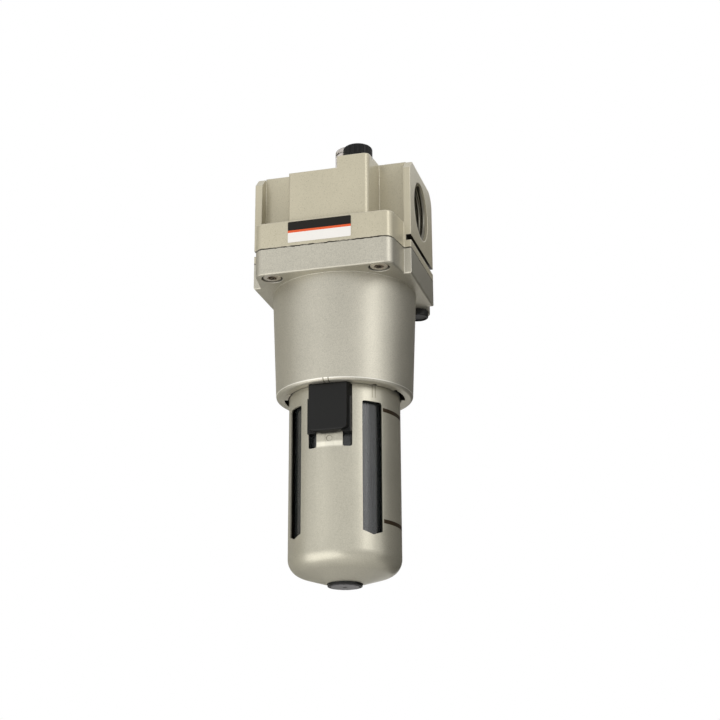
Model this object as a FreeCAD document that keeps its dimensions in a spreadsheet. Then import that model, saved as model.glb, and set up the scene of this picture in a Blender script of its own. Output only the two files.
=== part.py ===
import FreeCAD, Part
import os
import re

import Sketcher
from FreeCAD import Placement, Rotation, Vector

# Air line lubricator with a one inch port, a metal bowl guard with four windows and a clear bowl.
# The origin is the centre of the inlet mouth, X runs with the air, the front faces -Y and Z is up.

SIZES = {
    # Body casting
    "body_length": 90,
    "pad_rim": 4,
    "pad_front": 26,
    "pad_back": 27.5,
    "pad_top": 21.9,
    "pad_bevel": 5.6,
    "pad_round_back": 9,
    "axis_drop": 31.8,
    "band_height": 15.1,
    "band_depth": 90,
    "front_taper": 2.8,
    "back_taper": 1.4,
    "corner_round": 5.5,
    "neck_depth": 38,
    "neck_top": 23,
    "column_left": 19.9,
    "column_right": 25.6,
    "column_step": 2,
    "column_top": 12.8,
    "column_round": 3.6,
    "column_edge": 1.5,
    "boss_left": 8,
    "boss_top": 19.7,
    "port_bore": 33.2,
    "port_depth": 20,
    "air_bore": 29.6,
    "slot_drop": 25.7,
    "slot_height": 3.2,
    "slot_depth": 2.7,
    "tapping_offset": 12,
    "tapping_bore": 3,
    # Bonnet with flange, drum and bayonet ring
    "flange_thick": 15.1,
    "edge_round": 1,
    "drum_length": 60.6,
    "drum_taper": 2.5,
    "drum_wall": 4.5,
    "foot_round": 2,
    "bowl_step": 1.1,
    "ring_gap": 0.55,
    "ring_height": 4.4,
    "gap_angle": 34,
    "left_gap": -90,
    "right_gap": 90,
    "rear_gap": 180,
    "relief_angle": 131,
    "relief_turn": 9.5,
    "relief_reach": 2.6,
    "relief_depth": 0.4,
    "mark_turn": 46,
    "mark_notch": 3.2,
    "mark_depth": 1.2,
    # Fixing screws
    "front_screw_from_side": 8.1,
    "front_screw_from_front": 6.7,
    "rear_screw_from_side": 5.4,
    "rear_screw_from_back": 11.5,
    "screw_size": 6,
    "screw_head": 9.9,
    "screw_head_height": 6,
    "screw_head_round": 0.4,
    "screw_length": 18,
    "screw_key": 5,
    "screw_key_depth": 3,
    "counterbore": 11.8,
    "counterbore_depth": 6.5,
    "cap_head": 12.2,
    "cap_height": 3.7,
    "cap_wall": 1.2,
    "cap_recess": 0.5,
    # Bonnet seal
    "bonnet_seal_from_bore": 3,
    "bonnet_seal_cord": 2.4,
    # Bowl guard
    "guard_diameter": 60.9,
    "guard_wall": 1,
    "guard_drop": 101.5,
    "guard_bend": 9,
    "guard_shoulder": 95.2,
    "drain_opening": 19.2,
    "lug_height": 4.5,
    "lug_reach": 2.65,
    "lug_angle": 30,
    "lock_turn": 45,
    "window_width": 12,
    "window_top": 8.7,
    "window_side": 69.9,
    "window_point": 2,
    "window_round": 1.2,
    "window_count": 4,
    "leg_slot_inner": 7.2,
    "leg_slot_width": 4.8,
    "leg_slot_round": 1.2,
    "leg_slot_top": 6.1,
    "leg_slot_end": 34.2,
    "tongue_press": 0.35,
    "tongue_ramp": 3,
    "dimple_size": 3.2,
    "dimple_depth": 0.3,
    "dimple_drop": 29.5,
    # Lock button
    "button_width": 20.6,
    "button_flare": 2,
    "button_length": 26.7,
    "button_reach": 2.75,
    "button_lip": 1.2,
    "button_crease": 6,
    "button_block": 5,
    "flare_depth": 2.6,
    "button_lip_drop": 25.5,
    "button_bow": 3,
    "button_curve": 24,
    "button_travel": 6.4,
    "hook_overlap": 1.2,
    # Clear bowl and its seal
    "bowl_gap": 1.8,
    "bowl_wall": 2.4,
    "bowl_drop": 95.9,
    "bowl_bend": 9,
    "collar_height": 10.6,
    "collar_wall": 5.3,
    "bowl_seal_cord": 2.7,
    "bowl_seal_below": 5.8,
    # Drain
    "drain_stem": 11,
    "drain_collar": 18.6,
    "drain_show": 1.4,
    "collar_round": 0.3,
    "stem_show": 1,
    "drain_recess": 4,
    "nut_width": 17,
    "nut_height": 4,
    "gasket_thick": 1.2,
    "knob_diameter": 15.8,
    "knob_proud": 0.3,
    "knob_scallops": 14,
    "scallop_size": 1.8,
    "knob_stem": 6,
    "drain_way": 2.4,
    "drain_seal_cord": 1,
    # Filler plug
    "filler_right": 17.2,
    "filler_inset": 9.8,
    "filler_hole": 13.2,
    "filler_depth": 15,
    "filler_way": 9,
    "filler_outlet": 7.6,
    "outlet_right": 14.5,
    "outlet_inset": 2.7,
    "filler_head": 16.3,
    "filler_head_height": 7.8,
    "filler_head_round": 1.4,
    "filler_flutes": 20,
    "flute_size": 1.4,
    "filler_stem": 10,
    "filler_seal_cord": 2,
    # Sight dome and drip feed
    "dome_right": 6,
    "dome_front": 8,
    "dome_socket": 16.4,
    "socket_depth": 6,
    "dome_flange": 18,
    "dome_flange_height": 2.4,
    "dome_diameter": 17.2,
    "dome_height": 16.2,
    "dome_wall": 2,
    "dome_roof": 3,
    "dome_round": 1.6,
    "skirt_depth": 3,
    "skirt_step": 0.4,
    "dome_seal_cord": 1.25,
    "needle_size": 3,
    "needle_head": 6,
    "needle_head_height": 1.9,
    "needle_slot": 0.9,
    "needle_reach": 1.4,
    "needle_point": 0.8,
    "needle_seal_cord": 0.9,
    "nozzle_base": 2.8,
    "nozzle_seat": 3.8,
    "nozzle_seat_low": 5.4,
    "nozzle_seat_high": 8.6,
    "riser_size": 2.6,
    "riser_front": 4,
    "riser_way": 1.4,
    "arm_below": 1,
    "drip_bore": 3.6,
    # Siphon with its check ball
    "siphon_gap": 1.35,
    "oil_way": 2.2,
    "adapter_size": 8,
    "adapter_depth": 8,
    "adapter_spigot": 7,
    "ball_size": 3.2,
    "ball_lift": 0.8,
    "ball_seat_bore": 2.2,
    "ball_room": 4,
    "siphon_size": 4.4,
    "siphon_wall": 0.8,
    "siphon_end": 153,
    "filter_size": 7,
    "filter_length": 10,
    # Venturi and damper in the air bore
    "venturi_length": 16,
    "venturi_throat": 20,
    "venturi_flare": 3,
    "throat_half": 2,
    "throat_round": 6,
    "damper_thick": 1,
    "damper_slit": 0.9,
    "damper_rim": 3.6,
    "damper_neck": 8,
    "clip_thick": 1.2,
    "clip_width": 2.4,
    "clip_groove": 1,
    "clip_gap": 44,
    # Nameplate
    "plate_width": 35.5,
    "plate_height": 12.1,
    "plate_thick": 0.3,
    "plate_shift": 1.4,
    "plate_drop": 0.9,
    "plate_round": 0.6,
    # Clearances
    "fit": 0.1,
    "seat": 0.05,
    "run": 0.3,
}

SIZED = {name: "Sizes." + name for name in SIZES}

# Levels and places that several pieces share, as formulas of the sizes
HALF = "body_length / 2"
PARTING = "(-axis_drop)"
FLANGE_FACE = "(-axis_drop - flange_thick)"
FOOT = "(-axis_drop - flange_thick - drum_length)"
GUARD_TOP = "(ring_height + run + lug_height)"
BOWL_TOP = "(ring_height + run + lug_height + seat + collar_height)"
SIDE = "(body_length / 2 - pad_rim)"
FRONT_HALF = f"({SIDE} - front_taper)"
BACK_HALF = f"({SIDE} - back_taper)"
COLUMN_FRONT = "(band_depth / 2 - column_step)"
FRONT_SCREW = (f"({FRONT_HALF} - front_screw_from_side)", "(front_screw_from_front - band_depth / 2)")
REAR_SCREW = (f"({BACK_HALF} - rear_screw_from_side)", "(band_depth / 2 - rear_screw_from_back)")
FILLER_FRONT = f"({COLUMN_FRONT} - filler_inset)"

# Diameters from the guard outwards to the drum, and inwards to the bowl and the siphon beside its wall
RING_BORE = "(guard_diameter + 2 * ring_gap)"
BOWL_BORE = "(guard_diameter + 2 * lug_reach)"
DRUM_FOOT = f"({BOWL_BORE} + 2 * drum_wall)"
DRUM_ROOT = f"({DRUM_FOOT} + 2 * drum_taper)"
BONNET_BORE = f"({BOWL_BORE} - 2 * bowl_step)"
SEAL_RING = f"({BONNET_BORE} + 2 * bonnet_seal_from_bore)"
BOWL = "(guard_diameter - 2 * guard_wall - 2 * bowl_gap)"
COLLAR = f"({BOWL_BORE} / 2 - run)"
BUTTON_FACE = "(guard_diameter / 2 + button_reach)"
SIPHON_REACH = f"({BOWL} / 2 - bowl_wall - siphon_gap - filter_size / 2)"
SIPHON_FRONT = f"sqrt({SIPHON_REACH} * {SIPHON_REACH} - dome_right * dome_right)"
OUTLET_REACH = f"({BONNET_BORE} / 2 - outlet_inset)"
OUTLET_FRONT = f"sqrt({OUTLET_REACH} * {OUTLET_REACH} - outlet_right * outlet_right)"

doc = FreeCAD.newDocument("AirLineLubricator")
sheet = doc.addObject("Spreadsheet::Sheet", "Sizes")
for row, (alias, number) in enumerate(SIZES.items(), 1):
    sheet.set(f"A{row}", alias)
    sheet.set(f"B{row}", str(number))
    sheet.setAlias(f"B{row}", alias)
doc.recompute()


def cells(formula):
    """Point every size named in a formula at its cell."""
    return re.sub(r"[a-z][a-z_]+", lambda word: SIZED.get(word.group(), word.group()), formula)


def value(formula):
    """Work a formula of the sizes out as a number."""
    return float(sheet.evalExpression(cells(formula)))


def bind(thing, attribute, formula):
    thing.setExpression(attribute, cells(formula))


def place(thing, across="0", depth="0", height="0"):
    """Set a piece in the row frame, measured from the bowl axis at the height of the ports."""
    bind(thing, "Placement.Base.x", f"{HALF} + {across}")
    bind(thing, "Placement.Base.y", depth)
    bind(thing, "Placement.Base.z", height)


def new_body(name, across="0", depth="0", height="0"):
    body = doc.addObject("PartDesign::Body", name)
    body.Label = name
    place(body, across, depth, height)
    return body


def origin_feature(body, role):
    return next(feature for feature in body.Origin.OriginFeatures if feature.Role == role)


def new_sketch(body, name, plane, offset="0", turn=None):
    """Sketch on an origin plane, moved along its normal or turned about the upright axis."""
    sketch = body.newObject("Sketcher::SketchObject", name)
    sketch.AttachmentSupport = [(origin_feature(body, plane), "")]
    sketch.MapMode = "FlatFace"
    if turn is None:
        bind(sketch, "AttachmentOffset.Base.z", offset)
    else:
        sketch.AttachmentOffset = Placement(Vector(), Rotation(Vector(0, 1, 0), value(turn)))
        bind(sketch, "AttachmentOffset.Rotation.Angle", turn)
    return sketch


def fix_point(sketch, geometry, position, across, along):
    """Dimension a point from the sketch's origin with two formulas."""
    for kind, formula in (("DistanceX", across), ("DistanceY", along)):
        constraint = Sketcher.Constraint(kind, -1, 1, geometry, position, value(formula))
        index = sketch.addConstraint(constraint)
        bind(sketch, f"Constraints[{index}]", formula)


def fix_radius(sketch, geometry, formula):
    index = sketch.addConstraint(Sketcher.Constraint("Radius", geometry, value(formula)))
    bind(sketch, f"Constraints[{index}]", formula)


def draw_circle(sketch, across, along, radius):
    centre = Vector(value(across), value(along), 0)
    circle = sketch.addGeometry(Part.Circle(centre, Vector(0, 0, 1), value(radius)))
    fix_point(sketch, circle, 3, across, along)
    fix_radius(sketch, circle, radius)


def tangent_point(corner, near, far):
    """Formulas of the point where the corner's rounding meets the side that runs to the near corner."""
    ahead = [f"(({near[axis]}) - ({corner[axis]}))" for axis in (0, 1)]
    aside = [f"(({far[axis]}) - ({corner[axis]}))" for axis in (0, 1)]
    length = f"hypot({ahead[0]}; {ahead[1]})"
    product = f"{length} * hypot({aside[0]}; {aside[1]})"
    cosine = f"({ahead[0]} * {aside[0]} + {ahead[1]} * {aside[1]})"
    sine = f"abs({ahead[0]} * {aside[1]} - {ahead[1]} * {aside[0]})"
    share = f"({corner[2]}) * ({product} + {cosine}) / {sine} / {length}"
    return [f"{corner[axis]} + {ahead[axis]} * {share}" for axis in (0, 1)]


def to_vector(formulas):
    return Vector(value(formulas[0]), value(formulas[1]), 0)


def draw_outline(sketch, corners):
    """Draw a closed outline. A corner is (across, along), with a radius third where it is round."""
    count = len(corners)
    starts, ends = [], []
    for index, corner in enumerate(corners):
        before, after = corners[index - 1], corners[(index + 1) % count]
        rounded = len(corner) == 3
        ends.append(tangent_point(corner, before, after) if rounded else corner)
        starts.append(tangent_point(corner, after, before) if rounded else corner)
    lines = []
    for index in range(count):
        side = Part.LineSegment(to_vector(starts[index]), to_vector(ends[(index + 1) % count]))
        lines.append(sketch.addGeometry(side))
    for index, corner in enumerate(corners):
        before, after = lines[index - 1], lines[index]
        fix_point(sketch, after, 1, *starts[index][:2])
        if len(corner) == 2:
            sketch.addConstraint(Sketcher.Constraint("Coincident", before, 2, after, 1))
            continue
        fix_point(sketch, before, 2, *ends[index][:2])
        apex, first, last = (to_vector(point) for point in (corner, ends[index], starts[index]))
        middle = (first + last) / 2
        sag = value(corner[2]) - (value(corner[2]) ** 2 - (first - middle).Length ** 2) ** 0.5
        crest = middle + (apex - middle).normalize() * sag
        turns_left = (crest - first).cross(last - crest).z > 0
        reach = (first, crest, last) if turns_left else (last, crest, first)
        arc = sketch.addGeometry(Part.Arc(*reach))
        sketch.addConstraint(Sketcher.Constraint("Coincident", arc, 1 if turns_left else 2, before, 2))
        sketch.addConstraint(Sketcher.Constraint("Coincident", arc, 2 if turns_left else 1, after, 1))
        fix_radius(sketch, arc, corner[2])


def draw(sketch, loops):
    """Draw each loop: a circle is three formulas, an outline is a list of corners."""
    for loop in loops:
        if isinstance(loop, tuple):
            draw_circle(sketch, *loop)
        else:
            draw_outline(sketch, loop)


def finish(body, feature):
    """Show the body what its shape now ends with and bring it up to date."""
    body.Tip = feature
    doc.recompute()
    return feature


def add_pad(body, name, plane, start, end, *loops):
    """Add a prism between two distances along the plane's normal (+Z, +X, or -Y for XZ_Plane)."""
    sketch = new_sketch(body, name + "_sketch", plane, start)
    draw(sketch, loops)
    pad = body.newObject("PartDesign::Pad", name)
    pad.Profile = sketch
    bind(pad, "Length", f"({end}) - ({start})")
    return finish(body, pad)


def cut_pocket(body, name, plane, start, end, *loops, turn=None):
    """Cut a prism between two distances along the plane's normal."""
    sketch = new_sketch(body, name + "_sketch", plane, start, turn)
    draw(sketch, loops)
    pocket = body.newObject("PartDesign::Pocket", name)
    pocket.Profile = sketch
    pocket.Reversed = True
    bind(pocket, "Length", f"({end}) - ({start})" if turn is None else end)
    return finish(body, pocket)


def turn_profile(body, name, kind, loops, plane="XZ_Plane", axis="V_Axis", angle=None, turn=None):
    """Turn a profile about an axis of its sketch, all round or over an angle to both sides."""
    sketch = new_sketch(body, name + "_sketch", plane, turn=turn)
    draw(sketch, loops)
    feature = body.newObject("PartDesign::" + kind, name)
    feature.Profile = sketch
    feature.ReferenceAxis = (sketch, [axis])
    if angle is None:
        feature.Angle = 360
    else:
        feature.Midplane = True
        bind(feature, "Angle", angle)
    return finish(body, feature)


def revolve(body, name, *loops, **choices):
    return turn_profile(body, name, "Revolution", loops, **choices)


def cut_groove(body, name, *loops, **choices):
    return turn_profile(body, name, "Groove", loops, **choices)


def repeat_round(body, feature, count, axis="Z_Axis"):
    pattern = body.newObject("PartDesign::PolarPattern", feature.Name + "_round")
    pattern.Originals = [feature]
    pattern.Axis = (origin_feature(body, axis), [""])
    pattern.Angle = 360
    bind(pattern, "Occurrences", count)
    return finish(body, pattern)


def mirror_across(body, feature, plane="YZ_Plane"):
    mirror = body.newObject("PartDesign::Mirrored", feature.Name + "_mirror")
    mirror.Originals = [feature]
    mirror.MirrorPlane = (origin_feature(body, plane), [""])
    return finish(body, mirror)


def round_edges(body, base, name, radius, chosen):
    """Round the edges of the last shape whose middle passes the test."""
    edges = base.Shape.Edges
    names = [f"Edge{index}" for index, edge in enumerate(edges, 1) if chosen(edge)]
    fillet = body.newObject("PartDesign::Fillet", name)
    fillet.Base = (base, names)
    bind(fillet, "Radius", radius)
    return finish(body, fillet)


def box_loop(left, low, right, high, *radius):
    """Outline of a rectangle, with one corner radius if it is given."""
    return [(left, low, *radius), (right, low, *radius), (right, high, *radius), (left, high, *radius)]


def hexagon(width):
    """Outline of a hexagon that has the width across its flats."""
    corners = []
    for turn in range(0, 360, 60):
        corners.append((f"{width} / sqrt(3) * cos({turn})", f"{width} / sqrt(3) * sin({turn})"))
    return corners


def flange_outline():
    """Plan of the band and the flange: a wide middle with slanted sides between the port pads."""
    right = [
        (FRONT_HALF, "(-band_depth / 2)", "corner_round"),
        (SIDE, "(-pad_front)"),
        (HALF, "(-pad_front)"),
        (HALF, "pad_back"),
        (SIDE, "pad_back"),
        (BACK_HALF, "band_depth / 2", "corner_round"),
    ]
    left = [(f"(-{corner[0]})", *corner[1:]) for corner in reversed(right)]
    return right + left


def o_ring(name, ring_radius, cord, across="0", depth="0", height="0"):
    """Seal ring a little thinner than its groove, lying level."""
    ring = doc.addObject("Part::Torus", name)
    ring.Label = name
    bind(ring, "Radius1", ring_radius)
    bind(ring, "Radius2", f"{cord} / 2 - seat")
    place(ring, across, depth, height)
    return ring


def make_body():
    """Die cast body: band, neck, port faces and the column that carries the filler plug."""
    body = new_body("body")
    add_pad(body, "band", "XY_Plane", PARTING, f"{PARTING} + band_height", flange_outline())
    add_pad(body, "neck", "XY_Plane", PARTING, "neck_top",
            box_loop(f"(-{SIDE})", "(-neck_depth / 2)", SIDE, "neck_depth / 2"))
    face = [
        ("(-pad_front)", PARTING),
        ("pad_back", PARTING),
        ("pad_back", "pad_top", "pad_round_back"),
        ("(-pad_front) + pad_bevel", "pad_top"),
        ("(-pad_front)", "pad_top - pad_bevel"),
    ]
    add_pad(body, "inlet_face", "YZ_Plane", f"(-{HALF})", f"(-{SIDE})", face)
    add_pad(body, "outlet_face", "YZ_Plane", SIDE, HALF, face)
    add_pad(body, "column", "XY_Plane", PARTING, "neck_top", [
        ("(-column_left)", f"(-{COLUMN_FRONT})", "column_edge"),
        ("column_right", f"(-{COLUMN_FRONT})", "column_round"),
        ("column_right", "0"),
        ("(-column_left)", "0"),
    ])
    for name, left, right, level in (("low_roof", "(-column_left) - 1", "boss_left", "column_top"),
                                     ("boss_roof", "boss_left - 1", "column_right + 1", "boss_top")):
        cut_pocket(body, name, "YZ_Plane", left, right, [
            (f"(-{COLUMN_FRONT}) - 1",
             f"{level} - (neck_top - {level}) / ({COLUMN_FRONT} - neck_depth / 2)"),
            ("(-neck_depth / 2)", "neck_top"),
            (f"(-{COLUMN_FRONT}) - 1", "neck_top + 1"),
        ])
    cut_pocket(body, "air_way", "YZ_Plane", f"(-{HALF}) - 1", f"{HALF} + 1", ("0", "0", "air_bore / 2"))
    port = ("0", "0", "port_bore / 2")
    cut_pocket(body, "inlet_port", "YZ_Plane", f"(-{HALF}) - 1", f"(-{HALF}) + port_depth", port)
    cut_pocket(body, "outlet_port", "YZ_Plane", f"{HALF} - port_depth", f"{HALF} + 1", port)
    slot = cut_pocket(body, "clamp_slot", "XZ_Plane", "(-pad_back) - 1", "pad_front + 1",
                      box_loop(f"{HALF} - slot_depth", "(-slot_drop) - slot_height / 2",
                               f"{HALF} + 1", "(-slot_drop) + slot_height / 2"))
    mirror_across(body, slot)
    cut_filler_way(body)
    cut_feed_ways(body)
    for name, (side, reach) in (("front", FRONT_SCREW), ("rear", REAR_SCREW)):
        hole = cut_pocket(body, name + "_screw_hole", "XY_Plane", f"{PARTING} - 1",
                          f"{PARTING} + screw_length + counterbore_depth - flange_thick + 1",
                          (side, reach, "screw_size / 2 + seat"))
        mirror_across(body, hole)
    cut_groove(body, "clip_groove",
               box_loop("dome_right + venturi_length / 2", "air_bore / 2 - 1",
                        "dome_right + venturi_length / 2 + clip_thick + fit", "air_bore / 2 + clip_groove"),
               axis="H_Axis")
    return body


def cut_filler_way(body):
    """Filler seat and thread, and the slanted way that leads the oil inside the bonnet's seal."""
    place_of_plug = ("filler_right", f"(-{FILLER_FRONT})")
    cut_pocket(body, "filler_seat", "XY_Plane", "boss_top", "neck_top + 1",
               (*place_of_plug, "filler_head / 2 + run"))
    cut_pocket(body, "filler_thread", "XY_Plane", "boss_top - filler_depth", "boss_top + 1",
               (*place_of_plug, "filler_hole / 2"))
    top = new_sketch(body, "filler_way_top", "XY_Plane", "boss_top - filler_depth + 1")
    draw(top, [(*place_of_plug, "filler_way / 2")])
    foot = new_sketch(body, "filler_way_foot", "XY_Plane", PARTING)
    draw(foot, [("outlet_right", f"(-{OUTLET_FRONT})", "filler_outlet / 2")])
    way = body.newObject("PartDesign::SubtractiveLoft", "filler_way")
    way.Profile = top
    way.Sections = [foot]
    finish(body, way)


def cut_feed_ways(body):
    """Oil way up from the siphon, across to the sight dome, and down into the air."""
    siphon = ("dome_right", f"(-{SIPHON_FRONT})")
    dome = ("dome_right", "(-dome_front)")
    cross_level = "neck_top - skirt_depth - nozzle_base / 2 - fit"
    cut_pocket(body, "dome_socket", "XY_Plane", "neck_top - socket_depth", "neck_top + 1",
               (*dome, "dome_socket / 2"))
    cut_pocket(body, "drip_way", "XY_Plane", "0", "neck_top - socket_depth + 1", (*dome, "drip_bore / 2"))
    cut_pocket(body, "siphon_seat", "XY_Plane", f"{PARTING} - 1", f"{PARTING} + adapter_depth",
               (*siphon, "adapter_size / 2"))
    cut_pocket(body, "oil_rise", "XY_Plane", f"{PARTING} + 1", cross_level, (*siphon, "oil_way / 2"))
    cut_pocket(body, "oil_cross", "XZ_Plane", "dome_front + dome_socket / 2 - 1", SIPHON_FRONT,
               ("dome_right", cross_level, "oil_way / 2"))
    cut_pocket(body, "pressure_tapping", "XY_Plane", f"{PARTING} - 1", "(-air_bore) / 2 + 1",
               ("(-tapping_offset)", "0", "tapping_bore / 2"))


def make_bonnet():
    """Bonnet casting: flange, tapered drum, bowl seat and the bayonet ring with its turning mark."""
    body = new_body("bonnet", height=PARTING)
    flange = add_pad(body, "flange", "XY_Plane", "(-flange_thick)", "0", flange_outline())
    round_edges(body, flange, "flange_edge", "edge_round",
                lambda edge: abs(edge.BoundBox.ZMax + value("flange_thick")) < 1e-4)
    end = "(-flange_thick - drum_length)"
    revolve(body, "drum", [
        ("0", "(-flange_thick) + 1"),
        (f"{DRUM_ROOT} / 2", "(-flange_thick) + 1"),
        (f"{DRUM_ROOT} / 2", "(-flange_thick)"),
        (f"{DRUM_FOOT} / 2", end, "foot_round"),
        ("0", end),
    ])
    shoulder = f"{end} + {BOWL_TOP} + run"
    cut_groove(body, "inside", [
        ("0", "1"),
        (f"{BONNET_BORE} / 2", "1"),
        (f"{BONNET_BORE} / 2", shoulder),
        (f"{BOWL_BORE} / 2", shoulder),
        (f"{BOWL_BORE} / 2", f"{end} + ring_height"),
        (f"{RING_BORE} / 2", f"{end} + ring_height"),
        (f"{RING_BORE} / 2", f"{end} - 1"),
        ("0", f"{end} - 1"),
    ])
    cut_groove(body, "seal_groove",
               box_loop(f"{SEAL_RING} / 2 - bonnet_seal_cord / 2", "(-bonnet_seal_cord)",
                        f"{SEAL_RING} / 2 + bonnet_seal_cord / 2", "1"))
    for name in ("left_gap", "right_gap", "rear_gap"):
        cut_groove(body, name + "_cut",
                   box_loop(f"{RING_BORE} / 2 - 1", f"{end} - 1",
                            f"{BOWL_BORE} / 2", f"{end} + ring_height + 1"),
                   angle="gap_angle", turn=f"{name} - 90")
    cut_groove(body, "ring_relief",
               box_loop(f"{RING_BORE} / 2 - 1", f"{end} - 1",
                        f"{RING_BORE} / 2 + relief_reach", f"{end} + relief_depth"),
               angle="relief_angle", turn="relief_turn - 90")
    mark = (f"{RING_BORE} / 2 * sin(mark_turn)", f"(-{RING_BORE} / 2) * cos(mark_turn)")
    cut_pocket(body, "turn_mark", "XY_Plane", f"{end} - 1", f"{end} + mark_depth",
               (*mark, "mark_notch / 2"))
    for name, (side, reach) in (("front", FRONT_SCREW), ("rear", REAR_SCREW)):
        head = cut_pocket(body, name + "_counterbore", "XY_Plane", "(-flange_thick) - 1",
                          "(-flange_thick) + counterbore_depth", (side, reach, "counterbore / 2"))
        mirror_across(body, head)
        hole = cut_pocket(body, name + "_hole", "XY_Plane", "(-flange_thick)", "1",
                          (side, reach, "screw_size / 2 + fit"))
        mirror_across(body, hole)
    side, reach = REAR_SCREW
    room = cut_pocket(body, "cap_room", "XY_Plane", "(-flange_thick) - cap_height - run",
                      "(-flange_thick) - seat", (side, reach, "cap_head / 2 + run"))
    mirror_across(body, room)
    return body


def make_screw():
    """Socket screw standing head down, with its head's bearing face at the origin."""
    body = new_body("flange_screw_master")
    revolve(body, "turned", [
        ("0", "(-screw_head_height)"),
        ("screw_head / 2", "(-screw_head_height)", "screw_head_round"),
        ("screw_head / 2", "0"),
        ("screw_size / 2", "0"),
        ("screw_size / 2", "screw_length"),
        ("0", "screw_length"),
    ])
    key = new_sketch(body, "key_sketch", "XY_Plane", "(-screw_head_height)")
    draw_outline(key, hexagon("screw_key"))
    socket = body.newObject("PartDesign::Pocket", "key_socket")
    socket.Profile = key
    socket.Reversed = True
    bind(socket, "Length", "screw_key_depth")
    finish(body, socket)
    return body


def group_copies(name, master, places):
    """One node that holds a copy of the master at each place of the row frame."""
    copies = []
    for index, (across, depth, height) in enumerate(places, 1):
        link = doc.addObject("App::Link", f"{name}_{index}")
        link.LinkedObject = master
        link.LinkTransform = False
        place(link, across, depth, height)
        copies.append(link)
    group = doc.addObject("Part::Compound", name)
    group.Label = name
    group.Links = copies
    return group


def both_sides(place_of_screw, height):
    side, reach = place_of_screw
    return [(side, reach, height), (f"(-{side})", reach, height)]


def make_fixings():
    """Four flange screws, and a push-in cap over each of the two rear ones."""
    screw_level = f"{FLANGE_FACE} + counterbore_depth - seat"
    screws = group_copies("flange_screws", make_screw(),
                          both_sides(FRONT_SCREW, screw_level) + both_sides(REAR_SCREW, screw_level))
    cap = new_body("rear_cap_master")
    stem = "counterbore / 2 - seat"
    revolve(cap, "moulded", [
        ("0", "(-cap_height) + cap_recess"),
        ("cap_head / 2 - cap_wall", "(-cap_height) + cap_recess"),
        ("cap_head / 2 - cap_wall", "(-cap_height)"),
        ("cap_head / 2", "(-cap_height)", "cap_wall / 2"),
        ("cap_head / 2", "0"),
        (stem, "0"),
        (stem, "counterbore_depth - screw_head_height - fit"),
        (f"{stem} - cap_wall", "counterbore_depth - screw_head_height - fit"),
        (f"{stem} - cap_wall", "(-cap_height) + cap_wall"),
        ("0", "(-cap_height) + cap_wall"),
    ])
    caps = group_copies("rear_screw_caps", cap, both_sides(REAR_SCREW, f"{FLANGE_FACE} - seat"))
    return [screws, caps]


def make_nameplate():
    """Thin plate stuck to the front of the band."""
    plate = new_body("nameplate", "(-plate_shift)", "(-band_depth / 2)",
                     f"{PARTING} + band_height - plate_drop - plate_height / 2")
    add_pad(plate, "plate", "XZ_Plane", "0", "plate_thick",
            box_loop("(-plate_width / 2)", "(-plate_height / 2)", "plate_width / 2", "plate_height / 2",
                     "plate_round"))
    return plate


def make_guard():
    """Bowl guard, one pressed shell: windows, a tongue between the button's slots, bayonet lugs."""
    guard = new_body("bowl_guard", height=FOOT)
    outer, inner = "guard_diameter / 2", "(guard_diameter / 2 - guard_wall)"
    revolve(guard, "shell", [
        (outer, GUARD_TOP),
        (outer, "(-guard_shoulder)", "guard_bend"),
        ("drain_opening / 2", "(-guard_drop)"),
        ("drain_opening / 2", "(-guard_drop) + guard_wall"),
        (inner, "(-guard_shoulder) + guard_wall", "(guard_bend - guard_wall)"),
        (inner, GUARD_TOP),
    ])
    for name in ("left_gap", "right_gap", "rear_gap"):
        revolve(guard, name + "_lug",
                box_loop(f"{inner} + guard_wall / 2", f"{GUARD_TOP} - lug_height",
                         f"{BOWL_BORE} / 2 - run", GUARD_TOP),
                angle="lug_angle", turn=f"{name} + lock_turn - 90")
    window = cut_pocket(guard, "window", "XZ_Plane", "0", f"{outer} + 1", [
        ("(-window_width / 2)", "(-window_top)", "window_round"),
        ("window_width / 2", "(-window_top)", "window_round"),
        ("window_width / 2", "(-window_top - window_side)"),
        ("0", "(-window_top - window_side - window_point)"),
        ("(-window_width / 2)", "(-window_top - window_side)"),
    ], turn="360 / window_count / 2")
    repeat_round(guard, window, "window_count")
    slot = cut_pocket(guard, "leg_slot", "XZ_Plane", "0", f"{outer} + 1",
                      box_loop("leg_slot_inner", "(-leg_slot_end)", "leg_slot_inner + leg_slot_width",
                               "(-leg_slot_top)", "leg_slot_round"))
    mirror_across(guard, slot)
    pressed = f"({outer} - tongue_press)"
    cut_groove(guard, "tongue", [
        (pressed, "(-leg_slot_top - leg_slot_round)"),
        (pressed, "(-leg_slot_end) + tongue_ramp"),
        (outer, "(-leg_slot_end)"),
        (f"{outer} + 1", "(-leg_slot_end)"),
        (f"{outer} + 1", "(-leg_slot_top - leg_slot_round)"),
    ], angle=f"2 * asin((leg_slot_inner + leg_slot_width / 2) / {outer})", turn="(-90)")
    cut_pocket(guard, "dimple", "XZ_Plane", f"{pressed} - dimple_depth", f"{outer} + 1",
               ("0", "(-dimple_drop)", "dimple_size / 2"))
    return guard


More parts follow.
